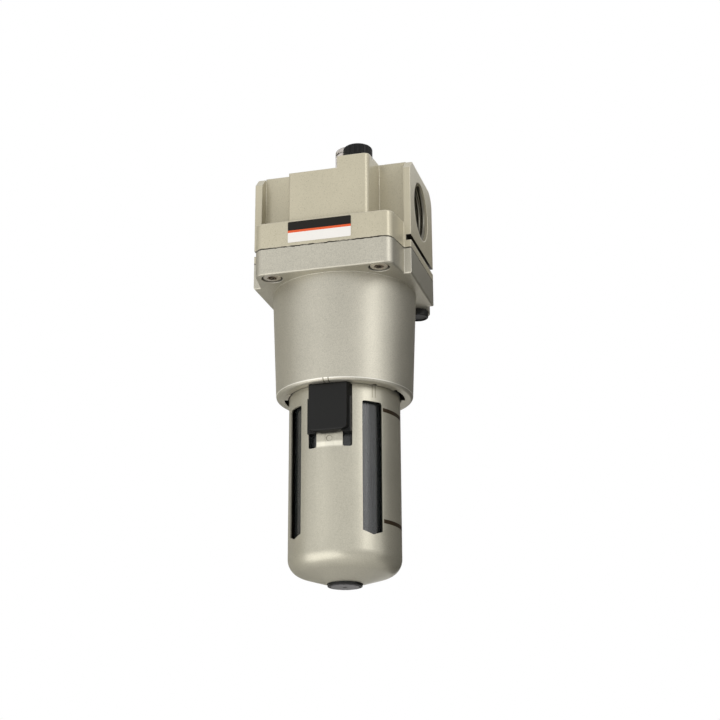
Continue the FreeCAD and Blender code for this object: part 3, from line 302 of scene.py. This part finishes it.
def flake_paint(name, shade, deep, edge, metallic, roughness, edge_width, marks):
    """Baked flake paint: grain in colour and gloss, paler edges of thinner paint with a painted highlight,
    painted shade in corners.
    """
    paint = new_material(name)
    flake = speckle(paint, FLAKE_SIZE)
    bright = add_node(paint, "MapRange", (flake, *FLAKE_RANGE))
    tone = add_node(paint, "MixRGB", (bright, srgb(deep), srgb(shade)))
    drift = add_node(paint, "MapRange", (speckle(paint, DRIFT_SIZE, 3.0), *SPECKLE_RANGE, *DRIFT_SHADES))
    tone = add_node(paint, "VectorMath", {"Vector": tone, "Scale": drift}, operation="SCALE")
    soft = add_node(paint, "Bevel", {"Radius": edge_width}, samples=6)
    hard = add_node(paint, "NewGeometry").outputs["Normal"]
    turn = add_node(paint, "VectorMath", (soft, hard), operation="DOT_PRODUCT").outputs["Value"]
    # The paler edge is thinner paint with a painted highlight over it.
    thin_paint_and_highlight = add_node(paint, "MapRange", (turn, *EDGE_TURN, 0.0, EDGE_SHARE))
    tone = add_node(paint, "MixRGB", (thin_paint_and_highlight, tone, srgb(edge)))
    # Deep corners take painted shade.
    open_air = add_node(paint, "AmbientOcclusion", {"Distance": SHELTER_REACH}, samples=8).outputs["AO"]
    corner = add_node(paint, "MapRange", (open_air, *SHELTER_RANGE))
    tone = add_node(paint, "MixRGB", (corner, tone, srgb(PAINTED_SHADE)))
    for mark, colour in marks:
        tone = add_node(paint, "MixRGB", (mark(paint), tone, srgb(colour)))
    gloss = add_node(paint, "MapRange", (flake, *SPECKLE_RANGE, roughness - GLOSS_SPREAD,
                                         roughness + GLOSS_SPREAD))
    bump = add_node(paint, "Bump", {"Height": flake, "Strength": FLAKE_BUMP, "Distance": FLAKE_RELIEF,
                                    "Normal": soft})
    surface = add_node(paint, "BsdfPrincipled", {"Base Color": tone, "Metallic": metallic,
                                                 "Roughness": gloss, "Normal": bump})
    add_node(paint, "OutputMaterial", (surface,))
    return paint


# Sprayed and baked champagne paint: warm and satin, with a weak glitter, paler on edges with thinner paint
# and a painted highlight.
champagne_paint = flake_paint("champagne_paint", BODY_SHADE, BODY_DEEP, BODY_EDGE, metallic=0.32,
                              roughness=0.3, edge_width=0.7 * MM,
                              marks=((scuffs, BODY_DEEP), (seam_shadow, SEAM_DARK), (clamp_shadow, PAINTED_SHADE)))
dress("body", champagne_paint)

# Port threads
# Each port is tapped for a one inch pipe: eleven threads to the inch, 1.48 mm deep, cut through the paint.
# The ridges stand in from the bore, whose radius is the thread's root.
PORT_RADIUS = 16.6 * MM
THREAD_DEPTH = 1.48 * MM
THREAD_PITCH = 25.4 / 11 * MM
THREAD_START = 1.0 * MM
THREAD_TURNS = 7.5
THREAD_STEPS = 72
ROOT_SINK = 0.02 * MM
# How far along the pitch and how far from root to crest each edge of the ridge lies.
THREAD_FORM = ((-0.46, 0), (-0.09, 1), (0.09, 1), (0.46, 0))
# Reach and share of open air for a bare metal's darker corners, partly grime and partly painted shade.
DIRT_AND_SHADE_REACH = 2 * MM
DIRT_AND_SHADE_RANGE = (0.75, 0.3)
# The sizes given for tool marks are about three times the real ones, so that they show.
MARK_RELIEF = 0.01 * MM
MARK_BUMP = 0.2
MARK_SPREAD = 0.06
# All values of a speckle lie in this range.
WIDE_RANGE = (0.2, 0.8)


def thread_mesh(name, root, crest):
    """Ridge of a screw thread round Z from the origin up, which runs out in a third of a turn."""
    rows = int(THREAD_TURNS * THREAD_STEPS)
    runout = THREAD_STEPS / 3
    vertices, faces = [], []
    for row in range(rows + 1):
        turn = 2 * math.pi * row / THREAD_STEPS
        fade = min(1, row / runout, (rows - row) / runout)
        for along, height in THREAD_FORM:
            radius = root + (crest - root) * height * fade
            level = THREAD_PITCH * (row / THREAD_STEPS + along + 0.5)
            vertices.append((radius * math.cos(turn), radius * math.sin(turn), level))
    width = len(THREAD_FORM)
    for row in range(rows):
        for side in range(width - 1):
            first = row * width + side
            faces.append((first, first + 1, first + width + 1, first + width))
    mesh = bpy.data.meshes.new(name)
    mesh.from_pydata(vertices, [], faces)
    mesh.polygons.foreach_set("use_smooth", [True] * len(mesh.polygons))
    return mesh


def place_piece(name, mesh, body, material):
    """Stand a new piece in the scene, give it its finish and let it move with its body."""
    piece = bpy.data.objects.new(name, mesh)
    bpy.context.scene.collection.objects.link(piece)
    mesh.materials.append(material)
    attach(piece, body)


def bare_metal(name, shade, dark, dirt_and_shade, roughness, mark_size):
    """Bare metal: fine marks in tone and gloss, darker in its deep corners with grime and painted shade."""
    metal = new_material(name)
    marks = speckle(metal, mark_size)
    tone = add_node(metal, "MixRGB", (marks, srgb(dark), srgb(shade)))
    open_air = add_node(metal, "AmbientOcclusion", {"Distance": DIRT_AND_SHADE_REACH}, samples=8).outputs["AO"]
    corner = add_node(metal, "MapRange", (open_air, *DIRT_AND_SHADE_RANGE))
    tone = add_node(metal, "MixRGB", (corner, tone, srgb(dirt_and_shade)))
    gloss = add_node(metal, "MapRange", (marks, *WIDE_RANGE, roughness - MARK_SPREAD,
                                         roughness + MARK_SPREAD))
    bump = add_node(metal, "Bump", {"Height": marks, "Strength": MARK_BUMP, "Distance": MARK_RELIEF})
    surface = add_node(metal, "BsdfPrincipled", {"Base Color": tone, "Metallic": 1.0, "Roughness": gloss,
                                                 "Normal": bump})
    add_node(metal, "OutputMaterial", (surface,))
    return metal


# Tapped aluminium: bare grey metal in the bore, a little streaked, with painted shade down in the roots.
cut_aluminium = bare_metal("cut_aluminium", "#7E7B70", "#55524A", "#1E1C18", roughness=0.38,
                           mark_size=0.3 * MM)
body_low, body_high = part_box("body")
for name, mouth, inward in (("inlet_thread", body_low.x, 1), ("outlet_thread", body_high.x, -1)):
    ridge = thread_mesh(name, PORT_RADIUS + ROOT_SINK, PORT_RADIUS - THREAD_DEPTH)
    for vertex in ridge.vertices:
        x, y, z = vertex.co
        vertex.co = (mouth + inward * (THREAD_START + z), y, x)
    place_piece(name, ridge, "housing", cut_aluminium)

# Bonnet
# The lower casting is screwed up under the body: flange, tapered drum and the bayonet ring at its foot.
# Its paint is a cooler silver than the body's, and more of it is flake.
SILVER_SHADE = "#BEBAAC"
SILVER_DEEP = "#A9A599"
# Paler edge colour: thinner paint with a painted highlight. It also draws the painted highlight round the
# drum's foot.
SILVER_EDGE = "#EAE8DF"
INDEX_GREY = "#6A6557"

FOOT_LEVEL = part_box("bonnet")[0].z
FOOT_RADIUS = 37.6 * MM
INDEX_ANGLES = (-2, 2.3)
INDEX_WIDTH = 0.35 * MM
INDEX_LENGTH = 1.6 * MM
INDEX_SOFT = 0.2 * MM
RIM_LEVEL = FOOT_LEVEL + 1.5 * MM
RIM_HALF = 0.14 * MM
RING_RADIUS = 36 * MM
RING_STEP = 0.5 * MM
DARK_START = FOOT_LEVEL + 0.6 * MM
DARK_END = FOOT_LEVEL + 20 * MM
DARK_SOFT = 0.15 * MM


def angle_of(owner):
    """Angle round the bowl axis in radians, nought at the front and growing to the right."""
    place = place_on_part(owner)
    across = add_node(owner, "Math", (place["X"], AXIS_X), operation="SUBTRACT")
    forward = add_node(owner, "Math", (place["Y"], -1.0), operation="MULTIPLY")
    return add_node(owner, "Math", (across, forward), operation="ARCTAN2")


def distance_from(owner, point, axes):
    """Distance from a point in metres, counted along the axes that are given as one."""
    away = add_node(owner, "VectorMath", (add_node(owner, "TexCoord").outputs["Object"], point),
                    operation="SUBTRACT")
    away = add_node(owner, "VectorMath", (away, axes), operation="MULTIPLY")
    return add_node(owner, "VectorMath", (away,), operation="LENGTH").outputs["Value"]


def reach_of(owner):
    """Distance from the bowl axis in metres."""
    return distance_from(owner, (AXIS_X, 0, 0), (1, 1, 0))


def upright_lines(owner, angles, radius, low, high):
    """Thin upright lines at angles round the bowl axis, between two levels."""
    half = INDEX_WIDTH / radius / 2
    first, second = [within(owner, angle_of(owner), middle - half, middle + half, half)
                     for middle in map(math.radians, angles)]
    lines = add_node(owner, "Math", (first, second), operation="MAXIMUM")
    length = within(owner, place_on_part(owner)["Z"], low, high, INDEX_SOFT)
    return add_node(owner, "Math", (lines, length), operation="MULTIPLY")


def foot_index(owner):
    """Two fine lines across the drum's foot, over the lock button."""
    return upright_lines(owner, INDEX_ANGLES, FOOT_RADIUS, FOOT_LEVEL - MM, FOOT_LEVEL + INDEX_LENGTH)


def foot_rim_highlight(owner):
    """Narrow bright line all round the drum's foot: a painted highlight along its edge."""
    outside = add_node(owner, "MapRange", (reach_of(owner), RING_RADIUS, RING_RADIUS + RING_STEP))
    line = within(owner, place_on_part(owner)["Z"], RIM_LEVEL - RIM_HALF, RIM_LEVEL + RIM_HALF, RIM_HALF)
    return add_node(owner, "Math", (outside, line), operation="MULTIPLY")


def ring_shadow(owner):
    """Dark inside of the bayonet ring, above its relief."""
    inside = add_node(owner, "MapRange", (reach_of(owner), RING_RADIUS, RING_RADIUS - RING_STEP))
    above = within(owner, place_on_part(owner)["Z"], DARK_START, DARK_END, DARK_SOFT)
    return add_node(owner, "Math", (inside, above), operation="MULTIPLY")


# Sprayed silver paint over the casting: cool, with a soft metal sheen that runs down the drum as one band.
silver_paint = flake_paint("silver_paint", SILVER_SHADE, SILVER_DEEP, SILVER_EDGE, metallic=0.85,
                           roughness=0.45, edge_width=0.5 * MM,
                           marks=((scuffs, SILVER_DEEP), (foot_rim_highlight, SILVER_EDGE), (foot_index, INDEX_GREY),
                                  (seam_shadow, SEAM_DARK), (clamp_shadow, PAINTED_SHADE), (ring_shadow, PAINTED_SHADE)))
dress("bonnet", silver_paint)

# Flange screws
# Four M6 socket screws of plated steel hold the bonnet to the body. They are cold headed, and their heads
# sit in the flange's counterbores.

# Plated steel: bright and a little warm, with brown grime and painted shade down in the sockets.
plated_steel = bare_metal("plated_steel", "#F2EDE4", "#C6BDB2", "#4A382C", roughness=0.24,
                          mark_size=0.25 * MM)
dress("flange_screws", plated_steel)

# Rear screw caps
# Round caps of moulded black nylon, pushed into the flange's rear counterbores from below.
# They cover the two screws there and stand a little proud.

# The sizes given for moulded grain are several times the real ones, so that it shows.
MOULD_RELIEF = 0.02 * MM
MOULD_BUMP = 0.3
MOULD_SPREAD = 0.07


def moulding(name, shade, light, roughness, grain, edge_width, sheen, ridges=None, ridge_height=0.0):
    """Injection moulded plastic: eroded grain in tone and gloss, soft edges, ridges where it has any."""
    plastic = new_material(name)
    eroded = speckle(plastic, grain, 3.0)
    tone = add_node(plastic, "MixRGB", (eroded, srgb(shade), srgb(light)))
    soft = add_node(plastic, "Bevel", {"Radius": edge_width}, samples=6)
    if ridges:
        soft = add_node(plastic, "Bump", {"Height": ridges(plastic), "Distance": ridge_height,
                                          "Normal": soft})
    bump = add_node(plastic, "Bump", {"Height": eroded, "Strength": MOULD_BUMP, "Distance": MOULD_RELIEF,
                                      "Normal": soft})
    gloss = add_node(plastic, "MapRange", (eroded, *WIDE_RANGE, roughness - MOULD_SPREAD,
                                           roughness + MOULD_SPREAD))
    surface = add_node(plastic, "BsdfPrincipled", {"Base Color": tone, "Roughness": gloss, "IOR": 1.5,
                                                   "Specular IOR Level": sheen, "Normal": bump})
    add_node(plastic, "OutputMaterial", (surface,))
    return plastic


# Moulded black nylon: nearly matt, with an even fine grain.
black_nylon = moulding("black_nylon", "#0E0E0D", "#1A1A18", roughness=0.42, grain=0.35 * MM,
                       edge_width=0.4 * MM, sheen=0.25)
dress("rear_screw_caps", black_nylon)

# Nameplate
# Printed polyester film stuck to the front of the band: black above, a thin orange line, white below.
# The three fields are plain, and each runs the whole length of the film.
PLATE_BLACK = "#17140F"
PLATE_ORANGE = "#D2582F"
PLATE_WHITE = "#DEDBD6"
BLACK_SHARE = 0.42
ORANGE_SHARE = 0.11
FILM_RIPPLE = 3 * MM
FILM_RELIEF = 0.05 * MM
FILM_BUMP = 0.1


def printed_film(name):
    """Three printed fields under a clear film that lies a little uneven."""
    film = new_material(name)
    low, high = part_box("nameplate")
    black_foot = high.z - (high.z - low.z) * BLACK_SHARE
    orange_foot = black_foot - (high.z - low.z) * ORANGE_SHARE
    tone = srgb(PLATE_WHITE)
    for foot, ink in ((orange_foot, PLATE_ORANGE), (black_foot, PLATE_BLACK)):
        above = add_node(film, "Math", (place_on_part(film)["Z"], foot), operation="GREATER_THAN")
        tone = add_node(film, "MixRGB", (above, tone, srgb(ink)))
    bump = add_node(film, "Bump", {"Height": speckle(film, FILM_RIPPLE), "Strength": FILM_BUMP,
                                   "Distance": FILM_RELIEF})
    surface = add_node(film, "BsdfPrincipled", {"Base Color": tone, "Roughness": 0.35, "IOR": 1.49,
                                                "Specular IOR Level": 0.2, "Normal": bump})
    add_node(film, "OutputMaterial", (surface,))
    return film


# Printed polyester film: flat clean colours with sharp borders under a satin face.
dress("nameplate", printed_film("printed_film"))

# Bowl guard
# Shell drawn from one aluminium sheet, with four windows, painted silver outside, with painted shade inside
# and on its cut edges.
# Two plain brown bars are printed on its right flank, and two fine lines stand under the turning mark.
GUARD_SHADE = "#BAB6A7"
GUARD_DEEP = "#A8A495"
# Paler edge colour: thinner paint with a painted highlight.
GUARD_EDGE = "#DEDACB"
# Painted shade on the guard's inside and the cut edges of its windows.
GUARD_INSIDE_SHADE = "#5E594B"
GUARD_FAINT = "#8C8778"
# Painted highlight on the bend across the tongue.
CREASE_HIGHLIGHT = "#E4E0D0"
BAR_BROWN = "#433729"

GUARD_RADIUS = (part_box("bowl_guard")[1].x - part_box("bowl_guard")[0].x) / 2
SHOULDER_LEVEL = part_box("bowl_guard")[0].z + 15 * MM
# How far in from the outer face the painted shade starts, and its soft margin.
SHADE_DEPTH = 0.7 * MM
SHADE_SOFT = 0.1 * MM
BAR_LEVELS = (-119.7 * MM, -180.2 * MM)
BAR_HALF = 1.0 * MM
BAR_START = math.radians(58)
BAR_END = math.radians(98)
BAR_SOFT = 0.15 * MM
TURN_SOFT = 0.01
LINE_ANGLES = (44.6, 48.2)
LINE_LENGTH = 6.5 * MM
TONGUE_HALF = math.radians(13.2)
CREASE_LEVEL = FOOT_LEVEL - 32.55 * MM
CREASE_HALF = 0.75 * MM
CREASE_SOFT = 1.2 * MM
DIMPLE_LEVEL = FOOT_LEVEL - 29.5 * MM
DIMPLE_RADIUS = 1.6 * MM
DIMPLE_LINE = 0.1 * MM
DIMPLE_SOFT = 0.12 * MM
DIMPLE_TURN = 0.2
COVER_START = FOOT_LEVEL + 0.3 * MM
COVER_END = FOOT_LEVEL + 1.5 * MM


def guard_inside_shade(owner):
    """Painted shade on all that lies deeper inside the straight wall than the shade depth: its inside and
    the windows' cut edges.
    """
    painted = GUARD_RADIUS - SHADE_DEPTH
    deep = add_node(owner, "MapRange", (reach_of(owner), painted, painted - SHADE_SOFT))
    wall = add_node(owner, "MapRange", (place_on_part(owner)["Z"], SHOULDER_LEVEL, SHOULDER_LEVEL + MM))
    return add_node(owner, "Math", (deep, wall), operation="MULTIPLY")


def guard_bars(owner):
    """Two plain printed bars, one above and one below the middle of the flank."""
    flank = within(owner, angle_of(owner), BAR_START, BAR_END, TURN_SOFT)
    upper, lower = [within(owner, place_on_part(owner)["Z"], level - BAR_HALF, level + BAR_HALF, BAR_SOFT)
                    for level in BAR_LEVELS]
    bars = add_node(owner, "Math", (upper, lower), operation="MAXIMUM")
    return add_node(owner, "Math", (flank, bars), operation="MULTIPLY")


def guard_index(owner):
    """Two fine lines on the guard that stand under the turning mark when the bowl is locked."""
    return upright_lines(owner, LINE_ANGLES, GUARD_RADIUS, FOOT_LEVEL - LINE_LENGTH, FOOT_LEVEL)


def covered_top(owner):
    """Painted shade on the rim of the guard that stands inside the bayonet ring."""
    return add_node(owner, "MapRange", (place_on_part(owner)["Z"], COVER_START, COVER_END))


def tongue_crease(owner):
    """Bright strip across the tongue, where it is pressed back out at the foot of the leg slots: a painted
    highlight on the bend.
    """
    front = within(owner, angle_of(owner), -TONGUE_HALF, TONGUE_HALF, TURN_SOFT)
    strip = within(owner, place_on_part(owner)["Z"], CREASE_LEVEL - CREASE_HALF, CREASE_LEVEL + CREASE_HALF,
                   CREASE_SOFT)
    return add_node(owner, "Math", (front, strip), operation="MULTIPLY")


def dimple_edge(owner):
    """Fine line round the pressed dimple."""
    away = distance_from(owner, (AXIS_X, 0, DIMPLE_LEVEL), (1, 0, 1))
    ring = within(owner, away, DIMPLE_RADIUS - DIMPLE_LINE, DIMPLE_RADIUS, DIMPLE_SOFT)
    front = within(owner, angle_of(owner), -DIMPLE_TURN, DIMPLE_TURN, TURN_SOFT)
    return add_node(owner, "Math", (ring, front), operation="MULTIPLY")


# Sprayed silver paint on pressed sheet: smoother than on the castings, so its highlights are tighter.
guard_paint = flake_paint("guard_paint", GUARD_SHADE, GUARD_DEEP, GUARD_EDGE, metallic=0.75,
                          roughness=0.37, edge_width=0.2 * MM,
                          marks=((scuffs, GUARD_DEEP), (tongue_crease, CREASE_HIGHLIGHT),
                                 (dimple_edge, INDEX_GREY), (guard_index, GUARD_FAINT),
                                 (guard_bars, BAR_BROWN), (covered_top, PAINTED_SHADE), (guard_inside_shade, GUARD_INSIDE_SHADE)))
dress("bowl_guard", guard_paint)

# Lock button
# Thumb button of moulded black nylon at the front of the guard, held by its two legs in the guard's slots.
# It is pushed down to free the bayonet.

# Moulded black nylon, rubbed by thumbs: an even soft black with worn round edges.
button_nylon = moulding("button_nylon", "#090908", "#121210", roughness=0.4, grain=0.3 * MM,
                        edge_width=0.5 * MM, sheen=0.25)
dress("lock_button", button_nylon)

# Clear bowl
# Round bowl moulded in clear polycarbonate, which hangs in the guard and holds the oil.
# Through the windows it looks dark grey, from its grey tint and the guard's inside behind it, both painted
# shade.
FLOW_WIDTH = 3 * MM
FLOW_STRETCH = (1, 1, 0.06)
FLOW_BUMP = 0.3
FLOW_SHARE = 0.4


def clear_polycarbonate(name, tint, roughness, sheen, haze, flow_relief):
    """Clear moulded polycarbonate with long faint flow lines down its wall."""
    clear = new_material(name)
    flow = speckle(clear, FLOW_WIDTH, 3.0, FLOW_STRETCH)
    gloss = add_node(clear, "MapRange", (flow, *WIDE_RANGE, roughness * (1 - FLOW_SHARE),
                                         roughness * (1 + FLOW_SHARE)))
    bump = add_node(clear, "Bump", {"Height": flow, "Strength": FLOW_BUMP, "Distance": flow_relief})
    surface = add_node(clear, "BsdfPrincipled", {
        "Base Color": srgb(tint), "Roughness": gloss, "IOR": 1.585, "Specular IOR Level": sheen,
        "Transmission Weight": 1 - haze, "Normal": bump})
    add_node(clear, "OutputMaterial", (surface,))
    return clear


# Moulded polycarbonate, tinted smoky grey as painted shade, with soft upright streaks.
bowl_polycarbonate = clear_polycarbonate("bowl_polycarbonate", "#545857", roughness=0.24, sheen=0.08,
                                         haze=0.13, flow_relief=0.3 * MM)
dress("bowl", bowl_polycarbonate)

# Seals
# Rings, gaskets and the damper's flap, all moulded in black nitrile rubber.
# They lie in their grooves and between the faces that they seal, so little of them shows.

# Moulded nitrile: dull black with a faint grey bloom.
moulded_nitrile = moulding("moulded_nitrile", "#141414", "#1E1E1D", roughness=0.6, grain=0.5 * MM,
                           edge_width=0.1 * MM, sheen=0.3)
for seal in ("bonnet_seal", "bowl_seal", "drain_gasket", "drain_seal", "dome_seal", "needle_seal",
             "filler_plug_seal", "flow_damper"):
    dress(seal, moulded_nitrile)

# Drain
# Collar of moulded black nylon with a grey acetal knob in it, in the guard's foot.
# A turned brass nut inside the bowl holds the collar, and the knob is turned to let water and old oil out.
dress("drain_housing", black_nylon)
# Moulded acetal: mid grey with a low waxy gloss.
grey_acetal = moulding("grey_acetal", "#4C4A4C", "#5A585A", roughness=0.4, grain=0.4 * MM,
                       edge_width=0.3 * MM, sheen=0.4)
dress("drain_knob", grey_acetal)
# Turned brass: yellow and bright, with fine tool marks and brown grime and painted shade in its corners.
turned_brass = bare_metal("turned_brass", "#C9A560", "#9A7A3C", "#5A4522", roughness=0.3,
                          mark_size=0.25 * MM)
dress("drain_nut", turned_brass)

# Filler plug
# Moulded black nylon plug with a fluted rim, screwed into the boss on the body to close the oil filler.
# Its stem has a 1.5 mm thread, which shows when it is screwed out.
PLUG_AXIS = sum(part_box("filler_plug"), Vector()) / 2
PLUG_PITCH = 1.5 * MM
PLUG_RIDGE = 0.9 * MM
STEM_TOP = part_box("filler_plug")[1].z - 8.6 * MM
STEM_SOFT = 0.3 * MM


def plug_thread(owner):
    """Height of the stem's screw thread: a helix of even ridges that ends under the head."""
    place = add_node(owner, "VectorMath", (add_node(owner, "TexCoord").outputs["Object"], PLUG_AXIS),
                     operation="SUBTRACT")
    place = add_node(owner, "SeparateXYZ", (place,)).outputs
    turned = add_node(owner, "Math", (place["Y"], place["X"]), operation="ARCTAN2")
    turned = add_node(owner, "Math", (turned, 2 * math.pi), operation="DIVIDE")
    risen = add_node(owner, "Math", (place["Z"], PLUG_PITCH), operation="DIVIDE")
    risen = add_node(owner, "Math", (risen, turned), operation="SUBTRACT")
    ridge = add_node(owner, "Math", (risen, 0.5), operation="PINGPONG")
    stem = add_node(owner, "MapRange", (place_on_part(owner)["Z"], STEM_TOP, STEM_TOP - STEM_SOFT))
    return add_node(owner, "Math", (ridge, stem), operation="MULTIPLY")


# Moulded black nylon with a finer finish than the rest: deep black, a clear line of light on each flute.
plug_nylon = moulding("plug_nylon", "#090908", "#121211", roughness=0.32, grain=0.3 * MM,
                      edge_width=0.3 * MM, sheen=0.2, ridges=plug_thread, ridge_height=PLUG_RIDGE)
dress("filler_plug", plug_nylon)

# Sight dome
# Clear polycarbonate dome screwed into the body's top over the brass drip nozzle, to show the drops of oil.
# The turned brass feed needle goes down through its top, and the siphon's brass adapter stands below.

# Moulded polycarbonate, clean: nearly clear, with sharp reflections and a faint warm tint.
dome_polycarbonate = clear_polycarbonate("dome_polycarbonate", "#E6DFDA", roughness=0.08, sheen=0.5,
                                         haze=0.05, flow_relief=0.04 * MM)
dress("sight_dome", dome_polycarbonate)
for part in ("drip_nozzle", "feed_needle", "siphon_adapter"):
    dress(part, turned_brass)

# Siphon
# Natural nylon tube from the adapter down into the oil, with a sintered bronze strainer pushed on its end.
# A steel check ball lies loose in the adapter and keeps the tube full.

# Extruded natural nylon: milky and a little waxy.
natural_nylon = moulding("natural_nylon", "#D9D6C8", "#E6E3D8", roughness=0.4, grain=0.6 * MM,
                         edge_width=0.2 * MM, sheen=0.5)
dress("siphon_tube", natural_nylon)
# Sintered bronze: dull brown grains with dark pores between them.
sintered_bronze = bare_metal("sintered_bronze", "#8C6A3E", "#5B4326", "#33230F", roughness=0.55,
                             mark_size=0.4 * MM)
dress("siphon_filter", sintered_bronze)
dress("check_ball", plated_steel)

# Venturi
# Ring of moulded grey acetal in the air bore, which narrows it so that the air draws the oil in.
# A bent clip of plated spring steel holds the ring and the damper's flap.
dress("venturi_ring", grey_acetal)
dress("venturi_clip", plated_steel)
